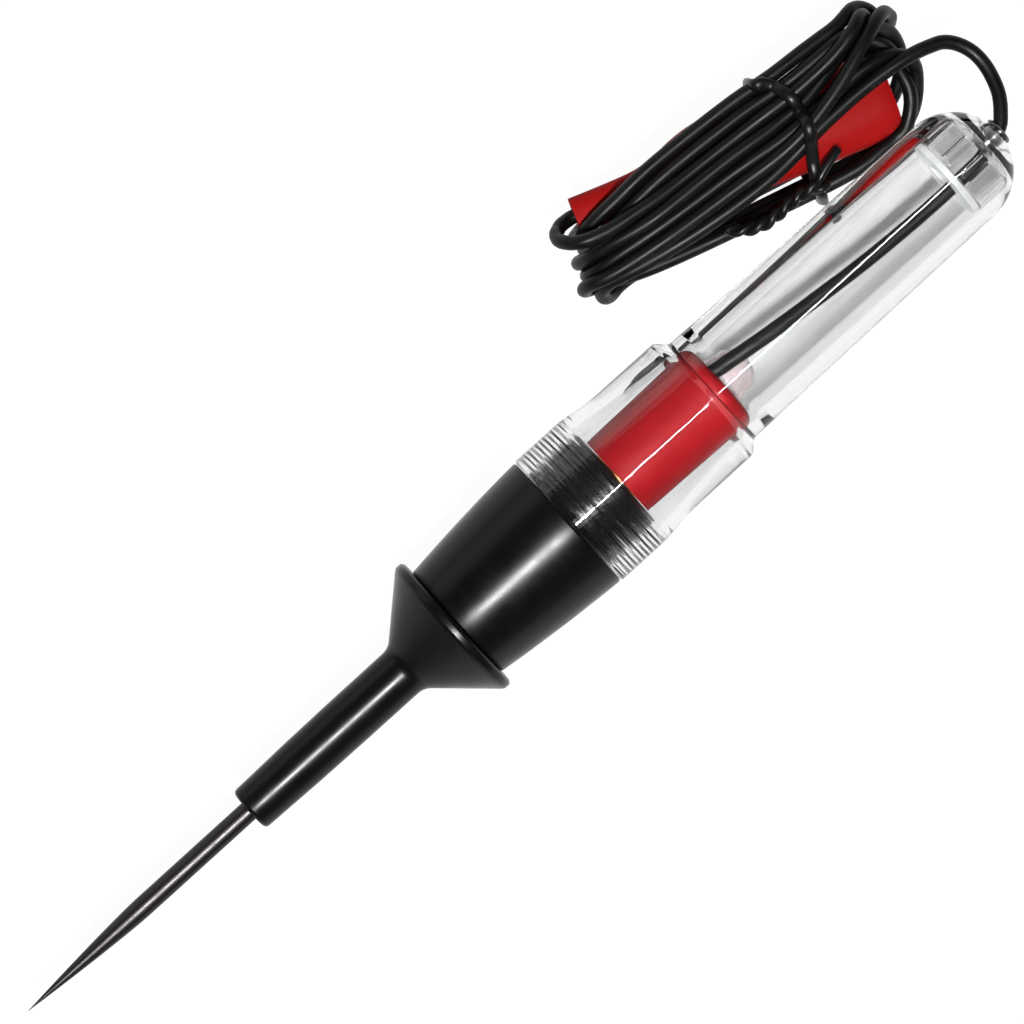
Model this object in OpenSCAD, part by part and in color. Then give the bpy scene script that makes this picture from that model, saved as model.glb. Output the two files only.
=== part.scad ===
// Circuit test light: needle probe, threaded nose, clear lamp handle, lead in a tied hank, alligator clip.
// The tool lies along X with its point at -X. Z is up and Z = 0 is the surface that it lies on.
// Millimetres. Stations along the tool are distances from the needle's point.

/* [Needle] */
// Diameter of the probe needle
needle_d = 3.3; // [2.8:0.1:3.5]
// Length of needle in front of the sleeve
needle_len = 46.5; // [40:0.5:60]
// Length of the pointed part
taper_len = 24; // [16:1:30]

/* [Finger guard] */
// Length of the sleeve in front of the flare
sleeve_len = 33.5; // [28:0.5:38]
// Sleeve diameter at its front end
sleeve_front_d = 7.6; // [7:0.1:8]
// Sleeve diameter where the flare starts
sleeve_back_d = 8.3; // [8:0.1:9]
// Diameter of the finger-guard flange
guard_d = 25.2; // [25:0.1:27]
// Thickness of the flange's rim
rim_w = 1.5; // [1:0.1:2]

/* [Nose barrel] */
// Length of the barrel between the flange and the collar
barrel_len = 23.3; // [20:0.1:26]
// Barrel diameter at the flange
barrel_front_d = 20.6; // [20:0.1:22]
// Barrel diameter at the collar
barrel_back_d = 24.5; // [24:0.1:25]
// Outer diameter of the male thread
thread_d = 19.8; // [19.4:0.1:20]
// Pitch of the thread
thread_pitch = 1.55; // [1.4:0.05:1.7]
// Crests on the thread
thread_turns = 6; // [4:1:6]

/* [Handle] */
// Diameter of the collar's threaded band
collar_d = 24.8; // [24.6:0.1:25]
// Diameter of the collar behind the band
waist_d = 23.2; // [23:0.1:23.6]
// Length of the collar
collar_len = 29; // [28.5:0.1:29.5]
// Tube diameter at the shoulder
tube_front_d = 19.7; // [19.4:0.1:20]
// Tube diameter at the dome
tube_back_d = 18.6; // [18.4:0.1:19]
// Bore of the tube
bore_d = 14.6; // [14.4:0.1:14.8]
// Distance from the needle's point to the eyelet's rim
tool_len = 204; // [203.8:0.1:204.2]

/* [Lamp] */
// Diameter of the lamp's glass
glass_d = 8.6; // [8.2:0.1:8.6]
// Diameter of the red holder in front of its seat
holder_d = 15; // [14:0.1:15.4]

/* [Lead] */
// Diameter of the lead
lead_d = 2.3; // [2:0.1:2.4]
// Height of the hank
hank_h = 18.1; // [17.5:0.1:18.5]
// Thickness of the tie's wire
tie_w = 1.8; // [1.4:0.1:1.9]

/* [Clip] */
// Length of the clip's boot
boot_len = 53.6; // [52:0.1:55]
// Height of the boot
boot_h = 10; // [9.6:0.1:10.2]
// Thickness of the boot's vinyl
boot_wall = 1; // [0.8:0.1:1.1]
// Thickness of the clip's sheet metal
sheet_w = 0.6; // [0.5:0.05:0.7]
// Diameter of the clip's pivot rivet
rivet_d = 2; // [1.6:0.1:2.2]

/* [Hidden] */
$fn = 64;

// Gaps: between pieces fixed to each other, round the turning thread, and round the clip's rivet
fit_gap = 0.05;
thread_gap = 0.3;
rivet_gap = 0.05;

axis_z = guard_d / 2;

// Stations along the tool
s_cone = needle_len + sleeve_len;
s_rim = s_cone + (guard_d - sleeve_back_d) / 2;
s_barrel = s_rim + rim_w;
s_collar = s_barrel + barrel_len;
s_thread_end = s_collar + 9.5;
s_holder = s_thread_end + 0.6;
s_shoulder = s_collar + collar_len;
s_seat = s_shoulder + 0.2;
s_holder_end = s_seat + 2.7;
s_bore_step = s_holder_end + 0.8;
s_dome = tool_len - 0.8 - tube_back_d / 2;
s_bore_end = tool_len - 3.8;
s_needle_head = s_barrel + 9.7;
s_cup = s_needle_head + 1.3;
s_button = s_thread_end - 1.8;
s_glass_end = s_holder_end + 5.6;

// Hollows
nose_bore_r = 5.2;
thread_bore_r = thread_d / 2 + thread_gap;
cavity_front_r = 10;
cavity_back_r = 8.5;
seat_r = 7.85;
bore_r = bore_d / 2;
bore_round = 3.4;
eyelet_r = 2;
hidden_needle_r = needle_d / 2 - 0.3;

// The lead's channel through the red holder, across the tool's axis
channel = [2.4, 4.95];

// Clip: place of the boot's neck and mouth over the surface, its height, and the clip's place inside it
boot_neck = [145.9, 34.5];
boot_turn = -20.6;
boot_z = 8.5;
pivot_u = 32.6;
clip_turn = -5;
jaw_len = 20.3;
tail_len = 12;

function tool_x(s) = s - tool_len / 2;

// Puts children drawn along +Z at station s on the tool's axis
module along(s = 0) {
    translate([tool_x(s), 0, axis_z]) rotate([0, 90, 0]) children();
}

// A turned solid: [radius, station] points, closed along the axis
module turned(points) {
    along() rotate_extrude() polygon(points);
}

module tube(s0, s1, r_out, r_in) {
    along(s0) difference() {
        cylinder(r = r_out, h = s1 - s0);
        translate([0, 0, -1]) cylinder(r = r_in, h = s1 - s0 + 2);
    }
}

// ---- Sweeping a round tube along a route ----
function unit(v) = v / norm(v);
function spline(p, i, t) =
    let (a = i == 0 ? 2 * p[0] - p[1] : p[i - 1],
         b = p[i],
         c = p[i + 1],
         d = i + 2 > len(p) - 1 ? 2 * p[i + 1] - p[i] : p[i + 2])
    0.5 * (2 * b + (c - a) * t + (2 * a - 5 * b + 4 * c - d) * t * t + (3 * b - a - 3 * c + d) * t * t * t);
function smooth(p, n) =
    [for (i = [0:len(p) - 2]) for (k = [0:n - 1]) spline(p, i, k / n), p[len(p) - 1]];
function tangents(q) =
    [for (i = [0:len(q) - 1]) unit(q[min(i + 1, len(q) - 1)] - q[max(i - 1, 0)])];
function first_side(t) = unit(cross(t, abs(t[2]) < 0.9 ? [0, 0, 1] : [1, 0, 0]));
function carried(t, i = 0, done = []) =
    i == len(t) ? done
    : carried(t, i + 1, concat(done, [i == 0 ? first_side(t[0])
        : unit(done[i - 1] - t[i] * (done[i - 1] * t[i]))]));

module swept(route, r, sides = 8, steps = 3) {
    q = steps > 1 ? smooth(route, steps) : route;
    t = tangents(q);
    side = carried(t);
    n = len(q);
    points = [for (i = [0:n - 1]) for (k = [0:sides - 1])
        let (a = 360 * k / sides) q[i] + r * (cos(a) * side[i] + sin(a) * cross(t[i], side[i]))];
    walls = [for (i = [0:n - 2]) for (k = [0:sides - 1])
        let (m = (k + 1) % sides)
        [i * sides + k, i * sides + m, (i + 1) * sides + m, (i + 1) * sides + k]];
    ends = [[for (k = [0:sides - 1]) sides - 1 - k], [for (k = [0:sides - 1]) (n - 1) * sides + k]];
    polyhedron(points, [for (f = concat(walls, ends)) [for (i = [len(f) - 1:-1:0]) f[i]]], convexity = 6);
}

// ---- Nose ----
taper_steps = 10;
function taper_r(t) = max(0.07, needle_d / 2 * (1 - pow(1 - t, 1.35)));

module probe_needle() {
    color("dimgray") turned([
        [0, 0],
        for (i = [0:taper_steps]) [taper_r(i / taper_steps), taper_len * i / taper_steps],
        [needle_d / 2, needle_len],
        [hidden_needle_r, needle_len],
        [hidden_needle_r, s_needle_head],
        [2.4, s_needle_head],
        [2.4, s_needle_head + 0.8],
        [1.6, s_cup - fit_gap],
        [0, s_cup - fit_gap]]);
}

module finger_guard() {
    hole_r = hidden_needle_r + fit_gap;
    front_r = sleeve_front_d / 2;
    edge = 0.5;
    color([0.07, 0.07, 0.08]) turned([
        [hole_r, needle_len + fit_gap],
        [front_r - edge, needle_len + fit_gap],
        [front_r, needle_len + edge],
        [sleeve_back_d / 2, s_cone],
        [guard_d / 2 - 0.35, s_rim - 0.35],
        [guard_d / 2, s_rim + 0.35],
        [guard_d / 2, s_barrel - 0.45],
        [guard_d / 2 - 0.45, s_barrel],
        [4, s_barrel],
        [4, s_barrel + 3],
        [hole_r, s_barrel + 3]]);
}

barrel_steps = 8;
function barrel_r(t) = (barrel_front_d + (barrel_back_d - barrel_front_d) * (t + 0.45 * t * (1 - t))) / 2;
thread_root_r = thread_d / 2 - 0.9;

module nose_barrel() {
    first = s_collar + 0.6;
    color([0.07, 0.07, 0.08]) turned([
        [hidden_needle_r + fit_gap, s_barrel + 3.2],
        [4 + fit_gap, s_barrel + 3.2],
        [4 + fit_gap, s_barrel + fit_gap],
        for (i = [0:barrel_steps])
            let (t = i / barrel_steps) [barrel_r(t), s_barrel + fit_gap + (barrel_len - fit_gap - 0.1) * t],
        [thread_root_r, s_collar - 0.1],
        for (i = [0:thread_turns - 1])
            let (s = first + i * thread_pitch)
            each [[thread_root_r, s], [thread_d / 2, s + 0.45], [thread_d / 2, s + 0.65],
                [thread_root_r, s + 1.1]],
        [thread_root_r, s_thread_end],
        [nose_bore_r, s_thread_end],
        [nose_bore_r, s_barrel + 5],
        [hidden_needle_r + fit_gap, s_barrel + 5]]);
}

module needle_bush() {
    color("darkgoldenrod") tube(s_barrel + 5 + fit_gap, s_needle_head - fit_gap,
        nose_bore_r - fit_gap, hidden_needle_r + fit_gap);
}

cup_r = 4.6;
cup_wall = 0.5;
cup_depth = 2.4;

module contact_cup() {
    color("gold") turned([
        [0, s_cup], [cup_r, s_cup], [cup_r, s_cup + cup_depth], [cup_r - cup_wall, s_cup + cup_depth],
        [cup_r - cup_wall, s_cup + cup_wall], [0, s_cup + cup_wall]]);
}

spring_wire_r = 0.3;
spring_turns = 7;
spring_start = s_cup + cup_wall + spring_wire_r + fit_gap;
spring_rise = s_button - spring_wire_r - fit_gap - spring_start;
function spring_mean_r(t) = 3.4 - 2.3 * t;
spring_route = [for (i = [0:spring_turns * 14])
    let (t = i / (spring_turns * 14), a = 360 * spring_turns * t, r = spring_mean_r(t))
    [tool_x(spring_start + spring_rise * t), r * cos(a), axis_z + r * sin(a)]];

module contact_spring() {
    color("silver") swept(spring_route, spring_wire_r, sides = 6, steps = 1);
}

// ---- Handle ----
shoulder_round = 1.4;

module shell_outside() {
    waist_r = waist_d / 2;
    band_r = collar_d / 2;
    front_r = tube_front_d / 2;
    turned([
        [0, s_collar], [band_r - 0.3, s_collar], [band_r, s_collar + 0.3], [band_r, s_holder - 0.2],
        [band_r - 0.3, s_holder + 0.6], [waist_r + 0.1, s_holder + 4.4], [waist_r, s_holder + 7],
        [waist_r, s_shoulder - shoulder_round], [0, s_shoulder - shoulder_round]]);
    along(s_shoulder - shoulder_round) rotate_extrude() {
        translate([waist_r - shoulder_round, 0]) circle(r = shoulder_round);
        square([waist_r - shoulder_round, shoulder_round]);
    }
    turned([[0, s_shoulder - 1], [front_r, s_shoulder - 1], [tube_back_d / 2, s_dome], [0, s_dome]]);
    along(s_dome) sphere(r = tube_back_d / 2);
}

module shell_inside() {
    turned([
        [0, s_collar - 1], [thread_bore_r, s_collar - 1], [thread_bore_r, s_holder + 0.1],
        [cavity_front_r, s_holder + 0.6], [cavity_back_r, s_seat], [seat_r, s_seat],
        [seat_r, s_bore_step], [bore_r, s_bore_step], [bore_r, s_bore_end - bore_round],
        [0, s_bore_end - bore_round]]);
    along(s_bore_end - bore_round - 0.01) rotate_extrude() {
        intersection() {
            translate([bore_r - bore_round, 0]) circle(r = bore_round);
            square([bore_r, bore_round]);
        }
        square([bore_r - bore_round, bore_round]);
    }
    along(s_bore_end - 1) cylinder(r = eyelet_r + fit_gap, h = 10);
}

module handle_shell() {
    color([0.85, 0.87, 0.88, 0.4]) difference() {
        shell_outside();
        shell_inside();
    }
}

holder_round = 1.8;

module lamp_holder() {
    sleeve_end = s_holder + 9.6;
    tail_r = seat_r - 0.1;
    color([0.7, 0.08, 0.1]) difference() {
        turned([
            [5.15, s_holder], [holder_d / 2 - 0.4, s_holder], [holder_d / 2, s_seat - 1.1],
            [8.35, s_seat - 1.1], [8.35, s_seat - fit_gap], [tail_r, s_seat - fit_gap],
            for (a = [0:15:90])
                [tail_r - holder_round * (1 - cos(a)), s_holder_end - holder_round * (1 - sin(a))],
            [glass_d / 2 + 0.1, s_holder_end], [glass_d / 2 + 0.1, sleeve_end], [5.15, sleeve_end]]);
        translate([0, channel[0], channel[1]]) along(s_holder + 9)
            cylinder(r = lead_d / 2 + 0.1, h = 20);
    }
}

sleeve_out_r = 5.05;
sleeve_in_r = 4.6;
s_sleeve_end = s_holder + 9.2;
channel_angle = atan2(channel[1], channel[0]);

// A box that stands at the channel's side of the axis, between two radii
module channel_box(s0, s1, r0, r1, w) {
    translate([tool_x(s0), 0, axis_z]) rotate([channel_angle, 0, 0])
        translate([0, r0, -w / 2]) cube([s1 - s0, r1 - r0, w]);
}

module contact_sleeve() {
    color("gold") {
        difference() {
            tube(s_holder + 0.2, s_sleeve_end, sleeve_out_r, sleeve_in_r);
            for (side = [-1, 1]) translate([tool_x(s_holder) - 1, side * sleeve_in_r - 1, axis_z - 0.9])
                cube([5.5, 2, 1.8]);
        }
        channel_box(s_sleeve_end - 0.5, s_sleeve_end + 3, 4.62, 4.92, 1.4);
    }
}

base_r = 4.5;
s_base = s_button + 2;
s_base_end = s_base + 9;

module lamp_button() {
    color("lightgray") along(s_button) cylinder(r1 = 1, r2 = 1.5, h = 0.7);
}

module lamp_insulator() {
    color([0.1, 0.08, 0.12]) along(s_button + 0.7) cylinder(r1 = 3, r2 = 3.8, h = 1.3);
}

module lamp_base() {
    color("gold") {
        tube(s_base, s_base_end, base_r, base_r - 0.4);
        along(s_base) cylinder(r = base_r - 0.2, h = 0.4);
        for (side = [-1, 1]) translate([tool_x(s_base + 2.6), 0, axis_z])
            rotate([side * -90, 0, 0]) translate([0, 0, base_r - 0.3]) cylinder(r = 0.7, h = 0.75);
    }
}

glass_r = glass_d / 2;
glass_wall = 0.5;
s_glass = s_base_end + 0.05;
s_glass_dome = s_glass_end - glass_r;

module lamp_glass() {
    color([0.9, 0.85, 0.85, 0.6]) difference() {
        union() {
            along(s_glass) cylinder(r = glass_r, h = s_glass_dome - s_glass);
            along(s_glass_dome) sphere(r = glass_r);
        }
        along(s_glass + 1) cylinder(r = glass_r - glass_wall, h = s_glass_dome - s_glass - 1);
        along(s_glass_dome) sphere(r = glass_r - glass_wall);
    }
}

filament_turns = 8;

module lamp_filament() {
    s0 = s_glass + 1.05;
    s1 = s_glass_dome - 1.2;
    color("gray") {
        along(s0) cylinder(r1 = 1.4, r2 = 0.9, h = 2);
        for (side = [-1, 1]) translate([0, side * 0.6, 0]) swept([
            [tool_x(s0 + 1), 0, axis_z],
            [tool_x(s0 + 4), side * 0.2, axis_z],
            [tool_x(s1 - 3), side * 1.4, axis_z],
            [tool_x(s1), side * 1.5, axis_z]], 0.18, sides = 6, steps = 2);
        swept([for (i = [0:filament_turns * 8])
            let (t = i / (filament_turns * 8), a = 360 * filament_turns * t)
            [tool_x(s1) + 0.3 * cos(a), -2.1 + 4.2 * t, axis_z + 0.3 * sin(a)]], 0.1, sides = 4, steps = 1);
    }
}

s_core = s_sleeve_end + 0.8;
s_lead_start = s_core + 2.3;

module lead_core() {
    color("peru") translate([0, channel[0], channel[1]]) along(s_core)
        cylinder(r = 0.5, h = s_lead_start - fit_gap - s_core);
}

module solder_joint() {
    color("lightgray") difference() {
        translate([0, channel[0], channel[1]]) along(s_core + 0.3) cylinder(r = 0.95, h = 1.5);
        translate([0, channel[0], channel[1]]) along(s_core) cylinder(r = 0.5 + 0.01, h = 3);
        channel_box(s_core - 1, s_core + 3, 4, 4.93, 3);
    }
}

// The lead inside the handle: [station, across, above the axis]
inner_route = [[136, 2.4, 4.95], [140, 2.4, 4.95], [146, 2.4, 4.95], [151, 2, 4.9], [157, 1, 4.3],
    [165, -0.2, 3.1], [174, -1.1, 1.7], [183, -1.5, 0.6], [191, -1.4, 0.1], [196, -0.9, 0],
    [199.6, -0.2, 0], [202, 0, 0], [203.9, 0, 0]];

module inner_lead() {
    color([0.05, 0.05, 0.05])
        swept([for (p = inner_route) [tool_x(p[0]), p[1], axis_z + p[2]]], lead_d / 2, steps = 2);
}

module lead_washer() {
    color([0.8, 0.8, 0.8, 0.5]) tube(191.8, 192.8, bore_r - 0.5, 2.9);
}

module cord_bush() {
    out_r = bore_r - 0.15;
    s0 = 193;
    wall = 1;
    s_wall = s_bore_end - 0.1 - wall;
    color([0.85, 0.85, 0.85, 0.5]) {
        turned([
            [out_r - wall, s0], [out_r, s0], [out_r, s_bore_end - bore_round],
            for (a = [15:15:75])
                [bore_r - bore_round + (bore_round - 0.15) * cos(a),
                    s_bore_end - bore_round + (bore_round - 0.1) * sin(a)],
            [bore_r - bore_round, s_bore_end - 0.1], [eyelet_r + fit_gap, s_bore_end - 0.1],
            [eyelet_r + fit_gap, s_wall], [out_r - wall - 1, s_wall], [out_r - wall, s_wall - 1]]);
        for (a = [22.5:45:360]) translate([tool_x(s0 + 1), 0, axis_z]) rotate([a, 0, 0])
            translate([0, 3.2, -0.25]) cube([s_wall - s0 - 2.4, out_r - wall + 0.2 - 3.2, 0.5]);
    }
}

module exit_eyelet() {
    hole_r = lead_d / 2 + 0.35;
    s_dome_face = tool_len - 0.8;
    color("silver") turned([
        [hole_r, s_bore_end - 0.9], [eyelet_r, s_bore_end - 0.9], [eyelet_r, s_dome_face - 0.15],
        [2.7, s_dome_face - 0.15], [2.7, s_dome_face + 0.3], [2.3, tool_len], [hole_r, tool_len]]);
}

// ---- Lead outside the handle: [station, across, height] ----
lead_route = [[204.1, 0, 12.6], [204.8, 0.1, 12.6], [205.6, 1.2, 12.5], [206.6, 3.2, 12.2], [207.5, 5.4, 12],
    [208.3, 8, 11.8], [208.8, 10.6, 11.8], [208.4, 13, 12.1], [206.9, 15.4, 12.8], [204.6, 17.2, 13.5],
    [202.4, 18.2, 14], [200.8, 18.6, 14.2], [199.2, 18.7, 14.3]];

module lead_cord() {
    color([0.05, 0.05, 0.05])
        swept([for (p = lead_route) [tool_x(p[0]), p[1], p[2]]], lead_d / 2, steps = 2);
}

hank_round = 3;
hank_outline = [[141.8, 24.8], [160, 19.2], [176, 13.4], [193, 13], [198, 17], [199.4, 24.6], [197.2, 26.6],
    [171, 29.6], [147, 33.6], [143.4, 32.6]];
hank_shelf_z = 12.6;
boot_gap = 0.3;
// Where the strands leave the boot's top showing
bare_patch = [[168.5, 8], [170.5, 17.2], [184, 19.4], [201, 17.4], [201, 8]];
tie_s = 179.4;
// Where the tie's ring passes the hank's two sides
tie_edges = [10.3, 31.7];

module hank_plan(grow) {
    offset(r = hank_round + grow) polygon([for (p = hank_outline) [tool_x(p[0]), p[1]]]);
}

// Sections of the boot: [distance from its neck, half width, half height]
boot_sections = [[0, 2.9, 2.9], [7, 3, 3], [11.5, 3.3, 3.2], [15, 4.3, 3.7], [18, 5.5, 4.3], [21, 6.4, 4.7],
    [24.5, 6.95, 4.9], [30, 7.1, boot_h / 2], [40, 7.05, boot_h / 2], [46, 6.9, boot_h / 2],
    [49, 6.6, 4.9], [51.5, 6, 4.7], [boot_len, 5, 4.3]];

module boot_place() {
    translate([tool_x(boot_neck[0]), boot_neck[1], boot_z]) rotate([0, 0, boot_turn]) children();
}

module boot_plan(grow) {
    last = len(boot_sections) - 1;
    polygon(concat(
        [[-grow, -boot_sections[0][1] - grow]],
        [for (b = boot_sections) [b[0], -b[1] - grow]],
        [[boot_len + grow, -boot_sections[last][1]], [boot_len + grow, boot_sections[last][1]]],
        [for (i = [last:-1:0]) [boot_sections[i][0], boot_sections[i][1] + grow]],
        [[-grow, boot_sections[0][1] + grow]]));
}

module cord_hank() {
    groove = tie_w + 0.2;
    pocket_h = boot_h + 2 * boot_gap;
    color([0.06, 0.06, 0.06]) difference() {
        union() {
            linear_extrude(hank_shelf_z) hank_plan(0);
            linear_extrude(hank_h) hank_plan(-2.4);
        }
        boot_place() {
            translate([0, 0, -pocket_h / 2]) linear_extrude(pocket_h) boot_plan(boot_gap);
            translate([-5, -1.5, -1.5]) cube([6, 3, 3]);
        }
        translate([tool_x(142), 35.6, 6.4]) cylinder(r = 2.6, h = 30);
        translate([0, 0, boot_z]) linear_extrude(30)
            intersection() {
                polygon([for (p = bare_patch) [tool_x(p[0]), p[1]]]);
                translate([tool_x(boot_neck[0]), boot_neck[1]]) rotate(boot_turn) boot_plan(boot_gap);
            }
        translate([tool_x(tie_s) - groove / 2, 0, 0]) difference() {
            translate([0, 0, -1]) cube([groove, 60, 40]);
            translate([-1, tie_edges[0] + groove, groove])
                cube([groove + 2, tie_edges[1] - tie_edges[0] - 2 * groove, hank_h - 2 * groove]);
        }
    }
}

// [station, across, height]
tail_route = [[141.7, 33.1, 15.6], [141, 34.2, 14.6], [140.8, 35.1, 12.8], [141.5, 35.7, 10.6],
    [143.3, 35.4, 9], [145.9, 34.5, 8.5], [149.6, 33.1, 8.5], [153.4, 31.68, 8.5]];

module lead_tail() {
    color([0.05, 0.05, 0.05])
        swept([for (p = tail_route) [tool_x(p[0]), p[1], p[2]]], lead_d / 2, steps = 2);
}

// Twisted ends of the tie: [station, across, height], and the radius of each
tie_tails = [[1.1, [[179.2, 11.2, 14], [176, 11.3, 14], [170, 13.1, 14], [164.5, 15.2, 14]]],
    [0.9, [[179.6, 11, 13.9], [181.5, 11, 14], [184, 11, 14.2]]]];

module hank_tie() {
    y0 = tie_edges[0];
    y1 = tie_edges[1];
    color([0.08, 0.08, 0.08]) {
        translate([tool_x(tie_s) - tie_w / 2, 0, 0]) difference() {
            translate([0, y0, 0.1]) cube([tie_w, y1 - y0, hank_h - 0.2]);
            translate([-1, y0 + tie_w, 0.1 + tie_w])
                cube([tie_w + 2, y1 - y0 - 2 * tie_w, hank_h - 0.2 - 2 * tie_w]);
        }
        for (tail = tie_tails)
            swept([for (p = tail[1]) [tool_x(p[0]), p[1], p[2]]], tail[0], steps = 2);
    }
}

// ---- Alligator clip ----
boot_power = 2.6;
function squircle(a, w, h) =
    let (c = cos(a), d = sin(a))
    [w * sign(c) * pow(abs(c), 2 / boot_power), h * sign(d) * pow(abs(d), 2 / boot_power)];

// The boot's body, made smaller by inset and longer at both ends by reach
module boot_body(inset, reach, sides = 28) {
    last = len(boot_sections) - 1;
    points = [for (i = [0:last]) for (k = [0:sides - 1])
        let (b = boot_sections[i],
            q = squircle(360 * (k + 0.5) / sides, b[1] - inset, b[2] - inset),
            u = b[0] + (i == 0 ? -reach : i == last ? reach : 0))
        [u, q[0], q[1]]];
    walls = [for (i = [0:last - 1]) for (k = [0:sides - 1])
        let (m = (k + 1) % sides)
        [(i + 1) * sides + k, (i + 1) * sides + m, i * sides + m, i * sides + k]];
    ends = [[for (k = [0:sides - 1]) k], [for (k = [0:sides - 1]) last * sides + sides - 1 - k]];
    polyhedron(points, concat(walls, ends), convexity = 6);
}

module clip_boot() {
    color([0.66, 0.1, 0.1]) boot_place() difference() {
        boot_body(0, 0);
        boot_body(boot_wall, 1);
    }
}

module clip_place() {
    boot_place() translate([pivot_u, 0, 0]) rotate([0, 0, clip_turn]) children();
}

// One jaw seen from above, on the side where its width counts as positive: [along, across]
jaw_edge = [[-tail_len, 3], [-8, 3.5], [-3, 3.5], [3, 3.5], [12, 2.9], [jaw_len, 2]];
jaw_inner = [[-tail_len, 2.4], [-8, 2.9], [-4, 2.4], [-2.2, -1.3], [2.2, -1.3], [4, 0.3], [jaw_len, 0.3]];

module jaw(side, half_h) {
    mirror([0, side > 0 ? 0 : 1, 0]) difference() {
        union() {
            for (z = [-half_h, half_h - sheet_w]) translate([0, 0, z]) linear_extrude(sheet_w)
                polygon(concat(jaw_edge, [for (i = [len(jaw_inner) - 1:-1:0]) jaw_inner[i]]));
            translate([0, 0, -half_h]) linear_extrude(2 * half_h)
                polygon(concat(jaw_edge, [for (i = [len(jaw_edge) - 1:-1:0]) jaw_edge[i] - [0, sheet_w]]));
            for (i = [0:4]) translate([jaw_len - 2 - i * 2.2, 0, -half_h]) linear_extrude(2 * half_h)
                polygon([[-0.7, 1.6], [0, 0.1], [0.7, 1.6]]);
        }
        translate([0, 0, -half_h - 1]) cylinder(r = rivet_d / 2 + rivet_gap, h = 2 * half_h + 2);
    }
}

fixed_half_h = 2.6;
moving_half_h = fixed_half_h - sheet_w - 0.15;
crimp_u = [4.6, 9.6];

module clip_fixed_jaw() {
    color("silver") {
        clip_place() jaw(-1, fixed_half_h);
        boot_place() {
            translate([crimp_u[0], 0, 0]) rotate([0, 90, 0]) difference() {
                cylinder(r = 1.75, h = crimp_u[1] - crimp_u[0]);
                translate([0, 0, -1]) cylinder(r = lead_d / 2 + fit_gap, h = 7);
            }
            translate([0, 0, -1.2]) linear_extrude(2.4)
                polygon([[8.6, -1.7], [8.6, -1.25], [10, -1.25], [20.9, -1.4], [20.9, -1.95], [10, -1.7]]);
        }
    }
}

module clip_moving_jaw() {
    color("silver") clip_place() jaw(1, moving_half_h);
}

module clip_rivet() {
    head = 0.35;
    color("darkgray") clip_place() {
        translate([0, 0, -fixed_half_h - head]) cylinder(r = rivet_d / 2, h = 2 * (fixed_half_h + head));
        for (z = [-fixed_half_h - head - fit_gap, fixed_half_h + fit_gap]) translate([0, 0, z])
            cylinder(r = 1.6, h = head);
    }
}

coil_r = 1.6;
coil_steps = 30;
coil_rise = 1.8;
coil_route = concat(
    [[-9.5, -2.4, -coil_rise / 2], [-4, -2.1, -coil_rise / 2]],
    [for (i = [0:coil_steps]) let (a = -90 + 900 * i / coil_steps)
        [coil_r * cos(a), coil_r * sin(a), coil_rise * (i / coil_steps - 0.5)]],
    [[-4, 1.4, coil_rise / 2], [-9.5, 0.7, coil_rise / 2]]);

module clip_spring() {
    color("gray") clip_place() swept(coil_route, 0.28, sides = 6, steps = 1);
}

probe_needle();
finger_guard();
nose_barrel();
needle_bush();
contact_cup();
contact_spring();
handle_shell();
lamp_holder();
contact_sleeve();
lamp_button();
lamp_insulator();
lamp_base();
lamp_glass();
lamp_filament();
lead_core();
solder_joint();
inner_lead();
lead_washer();
cord_bush();
exit_eyelet();
lead_cord();
cord_hank();
lead_tail();
hank_tie();
clip_boot();
clip_fixed_jaw();
clip_moving_jaw();
clip_rivet();
clip_spring();
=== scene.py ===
import bpy
import bmesh
import math
import numpy as np
from mathutils import Matrix, Vector


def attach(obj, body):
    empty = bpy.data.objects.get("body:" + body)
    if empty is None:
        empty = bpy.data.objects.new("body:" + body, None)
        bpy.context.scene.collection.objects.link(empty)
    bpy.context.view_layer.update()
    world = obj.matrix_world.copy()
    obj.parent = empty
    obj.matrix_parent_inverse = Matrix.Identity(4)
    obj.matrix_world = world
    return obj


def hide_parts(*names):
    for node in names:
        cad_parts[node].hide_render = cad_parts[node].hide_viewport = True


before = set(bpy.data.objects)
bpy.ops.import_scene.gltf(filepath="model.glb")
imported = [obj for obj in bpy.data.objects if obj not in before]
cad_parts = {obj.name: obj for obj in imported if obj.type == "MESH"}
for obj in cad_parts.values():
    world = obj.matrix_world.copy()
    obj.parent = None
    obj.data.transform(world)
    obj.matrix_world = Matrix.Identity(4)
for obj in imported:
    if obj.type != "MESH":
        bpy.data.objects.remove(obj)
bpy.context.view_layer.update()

# Lengths are in millimetres. A station is a distance along the tool from the needle's point.
MM = 0.001
AXIS_Z = 12.6  # the tool's axis over the floor
POINT_X = -102.0  # the needle's point
PITCH = 1.55  # of the nose's thread

# ---- Camera: straight down, turned so that the tool runs up to the right ----
LENS, SENSOR = 200.0, 36.0
VIEW_WIDTH = 0.1587  # what the view takes in at the tool's axis
VIEW_CENTRE = (0.00575, 0.00692)
VIEW_TURN = math.radians(-42.2)

camera_data = bpy.data.cameras.new("camera")
camera_data.lens = LENS
camera_data.sensor_width = SENSOR
camera_data.clip_start = 0.01
camera_data.clip_end = 20
camera = bpy.data.objects.new("camera", camera_data)
bpy.context.scene.collection.objects.link(camera)
camera.location = (*VIEW_CENTRE, AXIS_Z * MM + VIEW_WIDTH * LENS / SENSOR)
camera.rotation_euler = (0, 0, VIEW_TURN)
bpy.context.scene.camera = camera
bpy.context.scene.view_settings.view_transform = "Standard"
bpy.context.scene.view_settings.gamma = 0.85


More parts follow.
